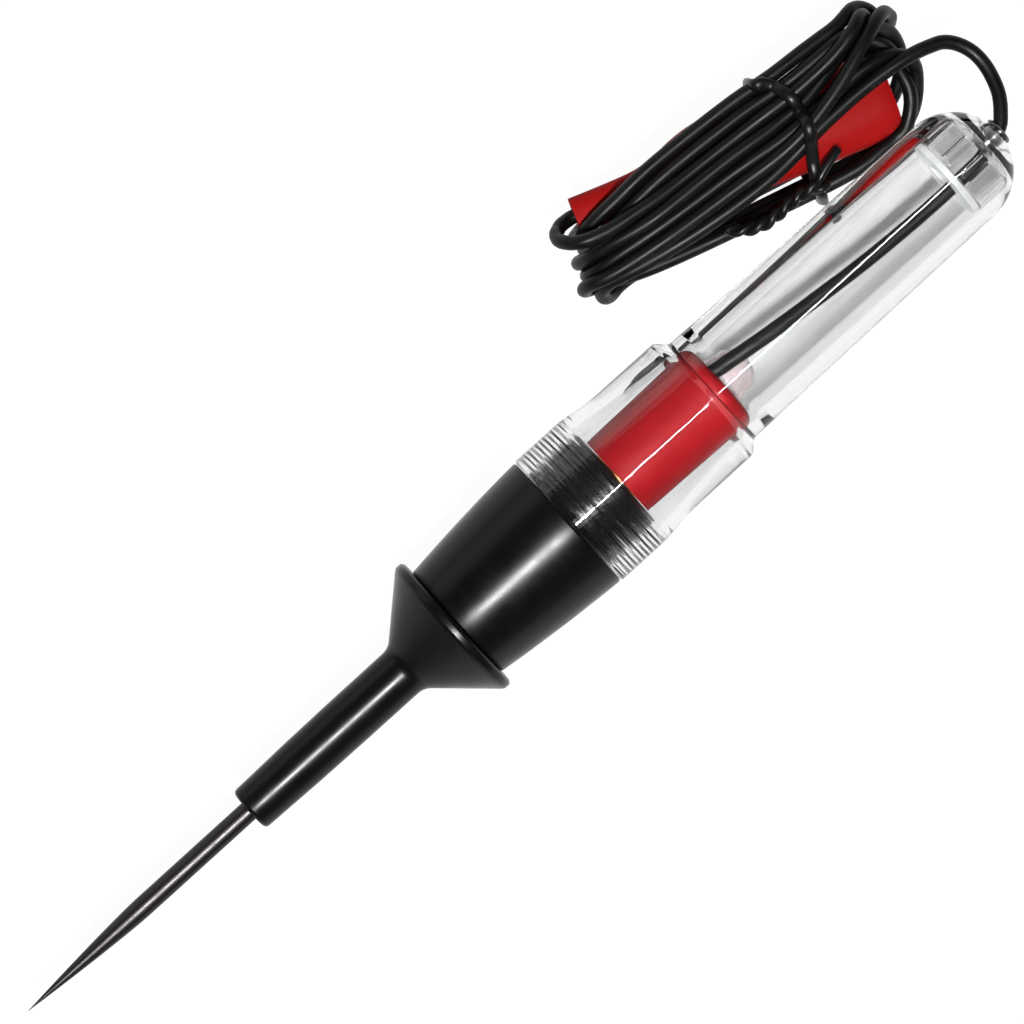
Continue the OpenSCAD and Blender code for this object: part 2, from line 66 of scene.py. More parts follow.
# ---- Making meshes ----
def mesh_piece(name, verts, faces, body, slot, material, angle=35):
    """A piece from vertices in millimetres in the row frame."""
    mesh = bpy.data.meshes.new(name)
    mesh.from_pydata([tuple(c * MM for c in v) for v in verts], [], faces)
    bm = bmesh.new()
    bm.from_mesh(mesh)
    bmesh.ops.recalc_face_normals(bm, faces=bm.faces)
    bm.to_mesh(mesh)
    bm.free()
    mesh.polygons.foreach_set("use_smooth", [True] * len(mesh.polygons))
    mesh.set_sharp_from_angle(angle=math.radians(angle))
    mesh.materials.append(material)
    obj = bpy.data.objects.new(name, mesh)
    bpy.context.scene.collection.objects.link(obj)
    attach(obj, body)
    return obj


def rounded(points, closed=True, steps=5):
    """A profile's (station, radius, fillet) corners as (station, radius) points, with fillets as arcs."""
    out = []
    n = len(points)
    for i, p in enumerate(points):
        s, r, f = (*p, 0)[:3]
        if not f or (not closed and i in (0, n - 1)):
            out.append((s, r))
            continue
        here = np.array([s, r], float)
        a = np.array(points[i - 1][:2], float) - here
        b = np.array(points[(i + 1) % n][:2], float) - here
        la, lb = np.linalg.norm(a), np.linalg.norm(b)
        a, b = a / la, b / lb
        half = math.acos(max(-1, min(1, float(a @ b)))) / 2
        cut = min(f / math.tan(half), 0.49 * la, 0.49 * lb)
        radius = cut * math.tan(half)
        middle = here + (a + b) / np.linalg.norm(a + b) * (radius / math.sin(half))
        start, end = here + a * cut - middle, here + b * cut - middle
        t0, t1 = math.atan2(start[1], start[0]), math.atan2(end[1], end[0])
        turn = (t1 - t0 + math.pi) % (2 * math.pi) - math.pi
        for k in range(steps + 1):
            t = t0 + turn * k / steps
            out.append((middle[0] + radius * math.cos(t), middle[1] + radius * math.sin(t)))
    return out


def lathe_mesh(points, closed=True, sides=160, start=0.0):
    """Vertices and faces of a profile of (station, radius) turned about the tool's axis.

    A point with a pair of radii winds between them as a right-hand thread, with a crest at start.
    """
    verts, rings, faces = [], [], []
    for s, r in points:
        if not isinstance(r, tuple):
            r = (r, r)
        if r[0] < 1e-5:
            rings.append([len(verts)])
            verts.append((s + POINT_X, 0, AXIS_Z))
            continue
        rings.append(list(range(len(verts), len(verts) + sides)))
        for k in range(sides):
            t = 2 * math.pi * k / sides
            wave = 0.5 + 0.75 * math.cos(2 * math.pi * (s - start) / PITCH - t)
            here = r[0] + (r[1] - r[0]) * min(1, max(0, wave))
            verts.append((s + POINT_X, here * math.cos(t), AXIS_Z + here * math.sin(t)))
    pairs = list(zip(rings, rings[1:])) + ([(rings[-1], rings[0])] if closed else [])
    for a, b in pairs:
        if len(a) == 1 and len(b) == 1:
            continue
        for k in range(sides):
            m = (k + 1) % sides
            face = [a[k % len(a)], a[m % len(a)], b[m % len(b)], b[k % len(b)]]
            faces.append([v for i, v in enumerate(face) if v not in face[:i]])
    return verts, faces


def lathe(name, points, body, slot, material, closed=True, sides=160, angle=35, start=0.0):
    """A piece turned about the tool's axis from a profile with fillets."""
    verts, faces = lathe_mesh(rounded(points, closed), closed, sides, start)
    return mesh_piece(name, verts, faces, body, slot, material, angle)


def tube_mesh(path, radius, sides=16, squash=1.0, caps=True):
    """Vertices and faces of a round tube along a path in millimetres."""
    p = np.array(path, float)
    radii = np.broadcast_to(np.array(radius, float), len(p))
    t = np.gradient(p, axis=0)
    t /= np.linalg.norm(t, axis=1)[:, None]
    up = np.array([0, 0, 1.0]) if abs(t[0][2]) < 0.9 else np.array([1.0, 0, 0])
    side = np.cross(t[0], up)
    side /= np.linalg.norm(side)
    verts, faces = [], []
    for i in range(len(p)):
        side = side - t[i] * (side @ t[i])
        side /= np.linalg.norm(side)
        other = np.cross(t[i], side)
        for k in range(sides):
            a = 2 * math.pi * k / sides
            verts.append(tuple(p[i] + radii[i] * (math.cos(a) * side + squash * math.sin(a) * other)))
    for i in range(len(p) - 1):
        for k in range(sides):
            m = (k + 1) % sides
            faces.append([i * sides + k, i * sides + m, (i + 1) * sides + m, (i + 1) * sides + k])
    if caps:
        faces.append(list(range(sides)))
        faces.append([(len(p) - 1) * sides + k for k in range(sides)])
    return verts, faces


def joined(*parts):
    """Several meshes' vertices and faces as one."""
    verts, faces = [], []
    for v, f in parts:
        faces += [[i + len(verts) for i in face] for face in f]
        verts += list(v)
    return verts, faces


# ---- Materials ----
def new_material(name, color, roughness, **sockets):
    """A Principled material. A socket's name is given with _ for each space."""
    mat = bpy.data.materials.new(name)
    mat.use_nodes = True
    shader = mat.node_tree.nodes["Principled BSDF"]
    shader.inputs["Base Color"].default_value = (*color, 1)
    shader.inputs["Roughness"].default_value = roughness
    for key, value in sockets.items():
        shader.inputs[key.replace("_", " ")].default_value = value
    return mat


NOISE_RANGE = (0.35, 0.65)  # the values that most of a noise lies between
NOISE_DETAIL = 3.0


def add_noise(mat, scale, rough=None, tint=None, bump=0.0, bump_scale=None, distance=0.0001, stretch=None):
    """Noise in a material: a range of roughness, a second colour mixed in, and a bump of that strength."""
    nodes, links = mat.node_tree.nodes, mat.node_tree.links
    shader = nodes["Principled BSDF"]
    where = nodes.new("ShaderNodeTexCoord")
    source = where.outputs["Object"]
    if stretch:
        mapping = nodes.new("ShaderNodeMapping")
        mapping.inputs["Scale"].default_value = stretch
        links.new(source, mapping.inputs["Vector"])
        source = mapping.outputs["Vector"]
    noise = nodes.new("ShaderNodeTexNoise")
    noise.inputs["Scale"].default_value = scale
    noise.inputs["Detail"].default_value = NOISE_DETAIL
    links.new(source, noise.inputs["Vector"])
    if rough:
        spread = nodes.new("ShaderNodeMapRange")
        spread.inputs["From Min"].default_value, spread.inputs["From Max"].default_value = NOISE_RANGE
        spread.inputs["To Min"].default_value, spread.inputs["To Max"].default_value = rough
        links.new(noise.outputs["Fac"], spread.inputs["Value"])
        links.new(spread.outputs["Result"], shader.inputs["Roughness"])
    if tint:
        mix = nodes.new("ShaderNodeMix")
        mix.data_type = "RGBA"
        mix.inputs["A"].default_value = shader.inputs["Base Color"].default_value
        mix.inputs["B"].default_value = (*tint, 1)
        links.new(noise.outputs["Fac"], mix.inputs["Factor"])
        links.new(mix.outputs["Result"], shader.inputs["Base Color"])
    if bump:
        fine = nodes.new("ShaderNodeTexNoise")
        fine.inputs["Scale"].default_value = bump_scale
        fine.inputs["Detail"].default_value = NOISE_DETAIL
        links.new(source, fine.inputs["Vector"])
        bump_node = nodes.new("ShaderNodeBump")
        bump_node.inputs["Strength"].default_value = bump
        bump_node.inputs["Distance"].default_value = distance
        links.new(fine.outputs["Fac"], bump_node.inputs["Height"])
        links.new(bump_node.outputs["Normal"], shader.inputs["Normal"])
    return mat


black_plastic = add_noise(
    new_material("black_plastic", (0.003, 0.003, 0.0032), 0.28, Specular_IOR_Level=0.3),
    220, rough=(0.25, 0.31), tint=(0.005, 0.005, 0.0052), bump=0.1, bump_scale=1400, distance=0.00003)
needle_steel = add_noise(
    new_material("needle_steel", (0.085, 0.08, 0.083), 0.38, Metallic=1.0),
    900, rough=(0.32, 0.44), tint=(0.05, 0.047, 0.05), bump=0.15, bump_scale=2600, distance=0.00003,
    stretch=(1, 14, 14))
clear_plastic = new_material("clear_plastic", (0.86, 0.863, 0.86), 0.015, Transmission_Weight=1.0, IOR=1.49)
bush_plastic = add_noise(
    new_material("bush_plastic", (0.95, 0.95, 0.95), 0.04, Transmission_Weight=1.0, IOR=1.22),
    700, rough=(0.02, 0.07), bump=0.08, bump_scale=500, distance=0.00005)
pale_plastic = add_noise(
    new_material("pale_plastic", (0.86, 0.87, 0.87), 0.3, Transmission_Weight=0.8, IOR=1.2),
    500, rough=(0.3, 0.5), bump=0.1, bump_scale=900)
red_plastic = add_noise(
    new_material("red_plastic", (0.16, 0.004, 0.006), 0.5, Specular_IOR_Level=0.1),
    260, rough=(0.44, 0.56), tint=(0.19, 0.005, 0.008), bump=0.12, bump_scale=1100, distance=0.00006)
lead_vinyl = add_noise(
    new_material("lead_vinyl", (0.003, 0.003, 0.003), 0.42, Specular_IOR_Level=0.32),
    300, rough=(0.37, 0.48), tint=(0.006, 0.006, 0.006), bump=0.12, bump_scale=900, distance=0.00004)
tie_vinyl = add_noise(
    new_material("tie_vinyl", (0.004, 0.004, 0.004), 0.32, Specular_IOR_Level=0.4),
    400, rough=(0.27, 0.4), tint=(0.008, 0.008, 0.008), bump=0.2, bump_scale=1500, distance=0.00006)
boot_vinyl = add_noise(
    new_material("boot_vinyl", (0.27, 0.006, 0.006), 0.5, Specular_IOR_Level=0.08),
    120, rough=(0.46, 0.58), tint=(0.32, 0.01, 0.009), bump=0.2, bump_scale=420, distance=0.0001)
brass = add_noise(
    new_material("brass", (0.72, 0.5, 0.2), 0.3, Metallic=1.0),
    500, rough=(0.24, 0.42), tint=(0.6, 0.42, 0.18), bump=0.1, bump_scale=1500, distance=0.00004)
plated_steel = add_noise(
    new_material("plated_steel", (0.6, 0.6, 0.61), 0.28, Metallic=1.0),
    600, rough=(0.2, 0.4), tint=(0.5, 0.5, 0.5), bump=0.1, bump_scale=1800, distance=0.00004)
dark_nickel = add_noise(
    new_material("dark_nickel", (0.2, 0.2, 0.21), 0.25, Metallic=1.0),
    600, rough=(0.2, 0.34), tint=(0.14, 0.14, 0.145))
spring_steel = add_noise(
    new_material("spring_steel", (0.5, 0.5, 0.52), 0.25, Metallic=1.0),
    900, rough=(0.2, 0.35), tint=(0.4, 0.4, 0.42))
dull_solder = add_noise(
    new_material("dull_solder", (0.55, 0.55, 0.55), 0.45, Metallic=1.0),
    1500, rough=(0.35, 0.55), tint=(0.45, 0.45, 0.44), bump=0.3, bump_scale=2500, distance=0.00005)
copper = add_noise(
    new_material("copper", (0.75, 0.36, 0.2), 0.35, Metallic=1.0),
    1500, rough=(0.3, 0.45), tint=(0.6, 0.28, 0.15))
lamp_clear = add_noise(
    new_material("lamp_clear", (0.86, 0.79, 0.8), 0.12, Transmission_Weight=0.9, IOR=1.46),
    600, rough=(0.08, 0.16))
black_glass = add_noise(
    new_material("black_glass", (0.02, 0.012, 0.025), 0.15),
    600, rough=(0.1, 0.25))

# ---- The lead: one cord from the eyelet through the hank into the boot's neck ----
LEAD_R = 1.15
TIGHTEST = 4.8  # the radius that tighter bends are widened towards
HANK_AT = np.array([68.58, 23.6])  # the hank's middle
HANK_ALONG = np.array([0.9620, -0.2730])
HANK_ACROSS = np.array([0.2730, 0.9620])


def hank_point(a, b, z):
    """A point of the hank: a along it, b across it and z over the floor, in millimetres, in the row frame."""
    xy = HANK_AT + a * HANK_ALONG + b * HANK_ACROSS
    return [xy[0], xy[1], z]


# The free stretch from the eyelet, in the row frame
LEAD_ROUTE = [
    (101, 0, 12.6), (101.7, 0.2, 12.6), (102.6, 1.0, 12.55), (103.8, 2.3, 12.4), (104.9, 3.7, 12.2),
    (105.7, 5.3, 12), (106.3, 7.1, 11.8), (106.7, 9.1, 11.7), (106.7, 11.3, 11.8), (106.1, 13.4, 12.1),
    (104.9, 15.3, 12.6), (103.2, 16.6, 13.2), (101.4, 17.5, 13.8), (99.5, 18.05, 14.4), (97.6, 18.4, 14.8),
]
TOP_A = (24, 18, 13, 9, -1, -10, -18, -24)
# Each strand over the boot, from right to left: its place across the hank at TOP_A and its height
TOPS = {
    "f": ([1.9, 0.5, -0.9, -2.4, -5.2, -6.8, -7.6, -7.9], [14.8, 14.8, 14.8, 14.8, 14.5, 13.8, 13.4, 12.4]),
    "5": ([4.5, 2.8, 1.3, 0.5, -1.1, -2.9, -4.4, -5.2], [14.8, 14.8, 14.8, 14.8, 14.8, 14.8, 14.8, 13.8]),
    "2": ([10.4, 9.2, 7.6, 6.4, 5.1, 3.2, 1.0, -1.0], [14.8, 14.8, 14.8, 14.8, 14.8, 14.7, 14.5, 12.8]),
    "s": ([7.0, 2.8, 0.4, -1.1, -3.2, -4.9, -6.0, -6.6], [17.2, 17.2, 16.6, 15.4, 14.8, 14.8, 14.8, 13.8]),
    "4": ([9.4, 6.4, 3.9, 2.6, 0.9, -1.0, -2.8, -3.6], [12.6, 14.6, 14.8, 14.8, 15.0, 15.4, 15.4, 14.4]),
    "a": ([11.4, 10.3, 9.2, 8.3, 7.3, 5.5, 3.3, 1.8], [13.6, 14.2, 14.6, 14.7, 14.7, 14.7, 14.7, 13.8]),
    "b": ([9.2, 7.2, 5.6, 4.6, 2.9, 1.0, -0.9, -1.3], [16.6, 16.2, 15.4, 14.9, 14.8, 14.9, 15.8, 16.6]),
}
RETURN_A = (-22, -12, 0, 12, 20)
UNDER = [1.3] * 5
# Each turn: the strand over the boot, the left bend, the strand's way back at RETURN_A with its height, and the
# right bend
TURNS = [
    ("f", [(-28.0, -7.8, 10.4), (-29.4, -7.8, 6.6), (-27.6, -8.0, 2.6)],
     (-8.0, -7.8, -7.7, -7.8, -7.8), [1.5, 2.6, 4.0, 4.4, 4.6],
     [(23.6, -7.4, 5.0), (27.0, -6.2, 5.8), (29.6, -4.0, 6.8), (30.6, 0.0, 8.6), (30.4, 3.2, 11.0),
      (28.2, 4.9, 13.6)]),
    ("5", [(-28.0, -5.4, 12.4), (-30.0, -5.2, 7.8), (-28.2, -5.0, 3.0)],
     (-5.0, -5.0, -5.0, -4.8, -4.2), UNDER,
     [(25.6, -2.6, 1.8), (29.4, 0.8, 3.4), (30.9, 5.2, 6.2), (30.0, 9.2, 9.8), (27.6, 11.0, 13.0)]),
    ("2", [(-27.8, -2.2, 10.8), (-29.0, -2.2, 7.0), (-27.6, -1.4, 3.0)],
     (-0.2, 0.4, 0.8, 1.2, 2.0), UNDER,
     [(25.2, 4.0, 1.8), (28.6, 7.4, 3.6), (30.2, 10.2, 7.4), (30.2, 11.2, 11.8), (28.4, 10.2, 15.4)]),
    ("s", [(-28.8, -6.6, 12.8), (-31.6, -6.6, 8.8), (-29.6, -7.4, 4.8)],
     (-8.6, -9.1, -9.3, -9.5, -9.3), [3.9, 6.0, 8.0, 8.7, 9.0],
     [(23.4, -8.4, 9.4), (26.6, -6.8, 9.6), (29.2, -3.6, 9.8), (30.4, 0.8, 10.2), (29.8, 4.8, 10.8),
      (27.6, 8.2, 11.6)]),
    ("4", [(-27.6, -3.8, 12.8), (-29.6, -3.6, 8.0), (-28.0, -3.2, 3.0)],
     (-2.4, -2.1, -1.9, -1.7, -1.1), UNDER,
     [(25.4, 1.4, 1.8), (28.4, 5.0, 3.2), (29.8, 9.0, 6.2), (28.9, 11.9, 9.4), (26.8, 12.2, 12.4)]),
    ("a", [(-27.0, 1.6, 12.0), (-28.6, 0.8, 8.0), (-27.2, 1.6, 3.2)],
     (3.0, 4.0, 4.6, 5.0, 5.4), UNDER,
     [(24.6, 7.2, 2.0), (27.4, 10.2, 4.4), (28.2, 11.9, 8.4), (27.6, 12.0, 12.8), (26.2, 10.6, 16.0)]),
]
LAST_STRAND = "b"
# From the last strand over the hank round into the boot's neck
INTO_NECK = [
    (-26.4, -1.0, 16.6), (-28.4, -0.7, 16.4), (-30.6, 0.3, 15.2), (-31.6, 1.8, 12.6), (-30.8, 3.2, 9.9),
    (-28.9, 3.95, 8.5), (-26.7, 3.75, 8.5), (-23.5, 3.5, 8.5), (-19.6, 3.17, 8.5),
]
TIE_A = 9.5  # where the tie passes under the hank
TIE_ROOM = 0.95  # how far the strands are lifted over it, and how far along the hank that reaches
TIE_REACH = 3.5


def through(points, spacing):
    """Points at an even spacing along a smooth curve through points."""
    p = np.array([2 * np.array(points[0]) - points[1], *points, 2 * np.array(points[-1]) - points[-2]], float)
    t = np.linspace(0, 1, 24, endpoint=False)[:, None]
    dense = [
        0.5 * (2 * b + (c - a) * t + (2 * a - 5 * b + 4 * c - d) * t**2 + (3 * b - a - 3 * c + d) * t**3)
        for a, b, c, d in zip(p, p[1:], p[2:], p[3:])
    ]
    dense = np.vstack([*dense, p[-2:-1]])
    far = np.concatenate([[0], np.cumsum(np.linalg.norm(np.diff(dense, axis=0), axis=1))])
    at = np.linspace(0, far[-1], int(round(far[-1] / spacing)) + 1)
    return np.stack([np.interp(at, far, dense[:, k]) for k in range(3)], axis=1)


def first_route():
    """The lead's route before its strands settle on each other."""
    route = [list(p) for p in LEAD_ROUTE]
    for name, left, back, height, right in TURNS:
        route += [hank_point(a, b, z) for a, b, z in zip(TOP_A, *TOPS[name])]
        route += [hank_point(*p) for p in left]
        route += [hank_point(a, b, z) for a, b, z in zip(RETURN_A, back, height)]
        route += [hank_point(*p) for p in right]
    route += [hank_point(a, b, z) for a, b, z in zip(TOP_A, *TOPS[LAST_STRAND])]
    return route + [hank_point(*p) for p in INTO_NECK]


BOOT_NECK = np.array([43.9, 34.5, 8.5])
BOOT_TURN = math.radians(-20.6)
BOOT_POWER = 2.6  # how far the boot's sections go from an ellipse, which is 2, towards a rectangle
# From the neck to the mouth: the place along the boot, half the width and half the height
BOOT_SECTIONS = np.array([
    (0, 2.9, 2.9), (7, 3, 3), (11.5, 3.3, 3.2), (15, 4.3, 3.7), (18, 5.5, 4.3), (21, 6.4, 4.7),
    (24.5, 6.95, 4.9), (30, 7.1, 5), (40, 7.05, 5), (45.4, 6.95, 5), (48.6, 6.7, 4.9), (51, 6.1, 4.75),
    (52.7, 5.2, 4.4),
])
BOOT_ALONG = np.array([math.cos(BOOT_TURN), math.sin(BOOT_TURN), 0])
BOOT_ACROSS = np.array([-math.sin(BOOT_TURN), math.cos(BOOT_TURN), 0])


def out_of_boot(p, gap):
    """Moves points that are nearer to the boot's outside than gap."""
    q = p - BOOT_NECK
    u, v, w = q @ BOOT_ALONG, q @ BOOT_ACROSS, q[:, 2]
    wide = np.interp(u, BOOT_SECTIONS[:, 0], BOOT_SECTIONS[:, 1]) + gap
    high = np.interp(u, BOOT_SECTIONS[:, 0], BOOT_SECTIONS[:, 2]) + gap
    f = (np.abs(v) / wide) ** BOOT_POWER + (np.abs(w) / high) ** BOOT_POWER
    f = np.maximum(f, 1e-6) ** (1 / BOOT_POWER)
    near = (f < 1) & (u > -gap * 0.8) & (u < BOOT_SECTIONS[-1, 0] + gap * 0.8)
    k = np.where(near, np.minimum(1 / f, 3) - 1, 0)[:, None]
    return p + k * (v[:, None] * BOOT_ACROSS + w[:, None] * np.array([0, 0, 1.0]))


# The handle's outside: stations with their radii, and the dome
DOME_AT, DOME_R = 193.9, 9.3
HANDLE_STATIONS = [113, 142.2, 142.4, DOME_AT, DOME_AT + DOME_R]
HANDLE_RADII = [12.4, 11.6, 9.85, DOME_R, DOME_R]
HANDLE_END = 203.5


def out_of_handle(p, gap):
    """Moves points that are nearer to the handle's outside than gap."""
    s = p[:, 0] - POINT_X
    radius = np.interp(s, HANDLE_STATIONS, HANDLE_RADII)
    dome = np.clip((s - DOME_AT) / DOME_R, 0, 1)
    radius = np.where(s > DOME_AT, DOME_R * np.sqrt(1 - dome**2), radius) + gap
    y, z = p[:, 1], p[:, 2] - AXIS_Z
    r = np.hypot(y, z)
    k = np.where((r < radius) & (s < HANDLE_END), radius / np.maximum(r, 1e-6) - 1, 0)
    out = p.copy()
    out[:, 1] += k * y
    out[:, 2] += k * z
    return out


def open_bends(p):
    """Widens the bends that are tighter than TIGHTEST a little."""
    for m in (2, 3):
        a, b, c = p[:-2 * m], p[m:-m], p[2 * m:]
        bow = 0.5 * (a + c) - b
        chord = np.linalg.norm(c - a, axis=1)
        most = TIGHTEST - np.sqrt(np.maximum(TIGHTEST**2 - chord**2 / 4, 0))
        over = np.maximum(1 - most / np.maximum(np.linalg.norm(bow, axis=1), 1e-6), 0)[:, None]
        p[m:-m] += 0.3 * over * bow
        p[:-2 * m] -= 0.15 * over * bow
        p[2 * m:] -= 0.15 * over * bow


def settle(p, still_start, still_end, rounds=300):
    """Lets the strands lie on each other.

    Strands that overlap are pushed apart and kept off the boot, the handle, the tie and the floor. Each
    stretch keeps its own mean spacing of points, and the points at both ends stay where they are.
    """
    n, gap = len(p), 2 * LEAD_R + 0.06
    all_i, all_j = np.triu_indices(n, k=int(3.4 * LEAD_R / np.linalg.norm(p[1] - p[0])) + 2)
    kept = p.copy()
    free = np.ones(n, bool)
    free[:still_start] = free[n - still_end:] = False
    for turn in range(rounds):
        if turn % 10 == 0:
            close = ((p[all_j] - p[all_i]) ** 2).sum(1) < (gap + 2.5) ** 2
            i, j = all_i[close], all_j[close]
        p = p + (0.012 + 0.03 * (1 - turn / rounds)) * (kept - p)
        p[1:-1] += 0.12 * (0.5 * (p[:-2] + p[2:]) - p[1:-1])
        open_bends(p)
        edges = np.linalg.norm(np.diff(p, axis=0), axis=1)
        step = np.convolve(np.pad(edges, 6, mode="edge"), np.full(13, 1 / 13), "valid")[:, None]
        for _ in range(4):
            away = p[j] - p[i]
            dist = np.sqrt((away * away).sum(1))
            near = dist < gap
            ii, jj = i[near], j[near]
            shove = away[near] / np.maximum(dist[near], 1e-6)[:, None] * ((gap - dist[near]) * 0.5)[:, None]
            move, count = np.zeros_like(p), np.zeros(n)
            np.add.at(move, ii, -shove)
            np.add.at(move, jj, shove)
            np.add.at(count, ii, 1)
            np.add.at(count, jj, 1)
            p = p + move / np.maximum(count, 1)[:, None] * 1.3
            for part in (0, 1):
                a, b = p[part:-1:2], p[part + 1::2]
                edge = b - a
                size = np.linalg.norm(edge, axis=1)[:, None]
                fix = edge * (1 - step[part::2] / np.maximum(size, 1e-9)) * 0.4
                p[part:-1:2] += fix
                p[part + 1::2] -= fix
            p[free] = out_of_handle(out_of_boot(p[free], LEAD_R + 0.05), LEAD_R + 0.25)
            along = (p[:, :2] - HANK_AT) @ HANK_ALONG
            lowest = LEAD_R + 0.03 + TIE_ROOM * np.exp(-(((along - TIE_A) / TIE_REACH) ** 4))
            p[:, 2] = np.maximum(p[:, 2], lowest)
            p[~free] = kept[~free]
    return p


lead_line = settle(through(first_route(), 1.5), still_start=14, still_end=6)
lead_line = through(list(lead_line), 0.75)

curve = bpy.data.curves.new("lead", "CURVE")
curve.dimensions = "3D"
curve.bevel_depth = LEAD_R * MM
curve.bevel_resolution = 5
curve.use_fill_caps = True
spline = curve.splines.new("POLY")
spline.points.add(len(lead_line) - 1)
spline.points.foreach_set("co", np.hstack([lead_line * MM, np.ones((len(lead_line), 1))]).ravel())
spline.use_smooth = True
lead = bpy.data.objects.new("lead", curve)
bpy.context.scene.collection.objects.link(lead)
curve.materials.append(lead_vinyl)
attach(lead, "handle")
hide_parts("lead_cord", "cord_hank", "lead_tail")


# ---- The boot ----
def boot_ring(u, wide, high, sides):
    """A section of the boot at u along it."""
    ring = []
    for k in range(sides):
        t = 2 * math.pi * (k + 0.5) / sides
        c, d = math.cos(t), math.sin(t)
        v = wide * math.copysign(abs(c) ** (2 / BOOT_POWER), c)
        w = high * math.copysign(abs(d) ** (2 / BOOT_POWER), d)
        ring.append(tuple(BOOT_NECK + u * BOOT_ALONG + v * BOOT_ACROSS + np.array([0, 0, w])))
    return ring


def boot_mesh(sides=72, steps=110, wall=1.0):
    """The boot's outside from the neck to the mouth, its rounded lip, and its inside back to the neck."""
    sections = through([tuple(b) for b in BOOT_SECTIONS], BOOT_SECTIONS[-1, 0] / steps)
    end, wide_end, high_end = sections[-1]
    outer = [(min(u, end), wide, high) for u, wide, high in sections]
    lip = [(end + 0.05, wide_end - 0.2, high_end - 0.2), (end, wide_end - 0.75, high_end - 0.75)]
    inner = [(u, wide - wall, high - wall) for u, wide, high in sections[::-1]]
    rings = outer[:-1] + lip + inner[1:]
    verts = [v for r in rings for v in boot_ring(*r, sides)]
    faces = []
    for i in range(len(rings)):
        n = (i + 1) % len(rings)
        for k in range(sides):
            m = (k + 1) % sides
            faces.append([i * sides + k, i * sides + m, n * sides + m, n * sides + k])
    return verts, faces


boot = mesh_piece("boot", *boot_mesh(), "handle", "boot_vinyl", boot_vinyl, 50)
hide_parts("clip_boot")

# ---- The tie ----
TIE_HALF = 0.66  # from the middle of the tie to what it lies on
TIE_TOP = 14.3  # the least height of the tie over the hank, up to where it turns down to the knot
TIE_TURNS_DOWN = -5  # that place across the hank
# Over the hank, from its far edge to the knot: along it and across it
TIE_OVER = [(6.9, 9.2), (8.2, 8.9), (9.4, 7.9), (10.4, 6.2), (11.1, 4.4), (11.4, 2.4), (11.4, 0.4),
            (11.1, -1.6), (10.5, -3.4), (9.9, -5.2), (9.4, -7.0), (9.0, -8.7)]
# Down its far side, under it, and up its near side to the knot, then the twisted tail and the short end
TIE_FAR = [(6.3, 10.0, 12.6), (6.5, 10.1, 8.5), (7.2, 9.8, 4.2), (8.2, 8.2, 1.3)]
TIE_UNDER = [(9.0, b, TIE_HALF) for b in (6.5, 3.5, 0.5, -2.5, -5.5, -7.8)]
TIE_NEAR = [(9.4, -9.0, 1.0), (9.3, -10.8, 2.8), (9.1, -11.2, 6.0), (9.0, -11.0, 9.2), (9.0, -10.1, 11.9)]
TIE_TAIL = [(10.2, -9.6, 12.4), (9.2, -9.2, 14.2), (7.4, -9.0, 13.9), (4.6, -9.4, 13.2), (1.4, -10.2, 12.4),
            (-1.4, -10.6, 11.8), (-4.2, -10.0, 11.4), (-6.6, -8.8, 11.4)]
TIE_STUB = [(8.6, -9.8, 12.6), (9.4, -8.4, 14.3), (11.0, -7.2, 14.7), (12.8, -6.1, 14.6), (14.2, -5.3, 14.1)]


def skyline(a, b, reach):
    """The height of the strands' top under a wire that passes over a, b."""
    x, y, _ = hank_point(a, b, 0)
    flat = np.hypot(lead_line[:, 0] - x, lead_line[:, 1] - y)
    near = flat < reach
    if not near.any():
        return 0.0
    return float((lead_line[near, 2] + np.sqrt(np.maximum(reach**2 - flat[near] ** 2, 0))).max())


def over_hank(a, b):
    """A point of the tie, on top of the strands that it passes over."""
    least = TIE_TOP - 0.12 * max(0, TIE_TURNS_DOWN - b) ** 2
    return hank_point(a, b, max(skyline(a, b, LEAD_R + TIE_HALF), least))


tie_ring = [over_hank(*q) for q in TIE_OVER[::-1]] + [hank_point(*q) for q in TIE_FAR + TIE_UNDER + TIE_NEAR]
tie_ring = through(tie_ring + tie_ring[:1], 0.5)


def twisted(path, radius, apart, turn_every):
    """Two wires wound about a path."""
    p = np.array(path)
    t = np.gradient(p, axis=0)
    t /= np.linalg.norm(t, axis=1)[:, None]
    side = np.cross(t, [0, 0, 1.0])
    side /= np.linalg.norm(side, axis=1)[:, None]
    up = np.cross(side, t)
    far = np.concatenate([[0], np.cumsum(np.linalg.norm(np.diff(p, axis=0), axis=1))])
    turn = (2 * math.pi * far / turn_every)[:, None]
    way = apart * (np.cos(turn) * side + np.sin(turn) * up)
    return joined(tube_mesh(p + way, radius, 12), tube_mesh(p - way, radius, 12))


tail = through([hank_point(*q) for q in TIE_TAIL], 0.3)
stub = through([hank_point(*q) for q in TIE_STUB], 0.4)
tie_parts = joined(
    tube_mesh(tie_ring, 1.0, 14, squash=0.68),
    twisted(tail, radius=0.62, apart=0.5, turn_every=5.0),
    tube_mesh(stub, 0.72, 12))
tie = mesh_piece("tie", *tie_parts, "handle", "tie_plastic", tie_vinyl, 60)
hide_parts("hank_tie")

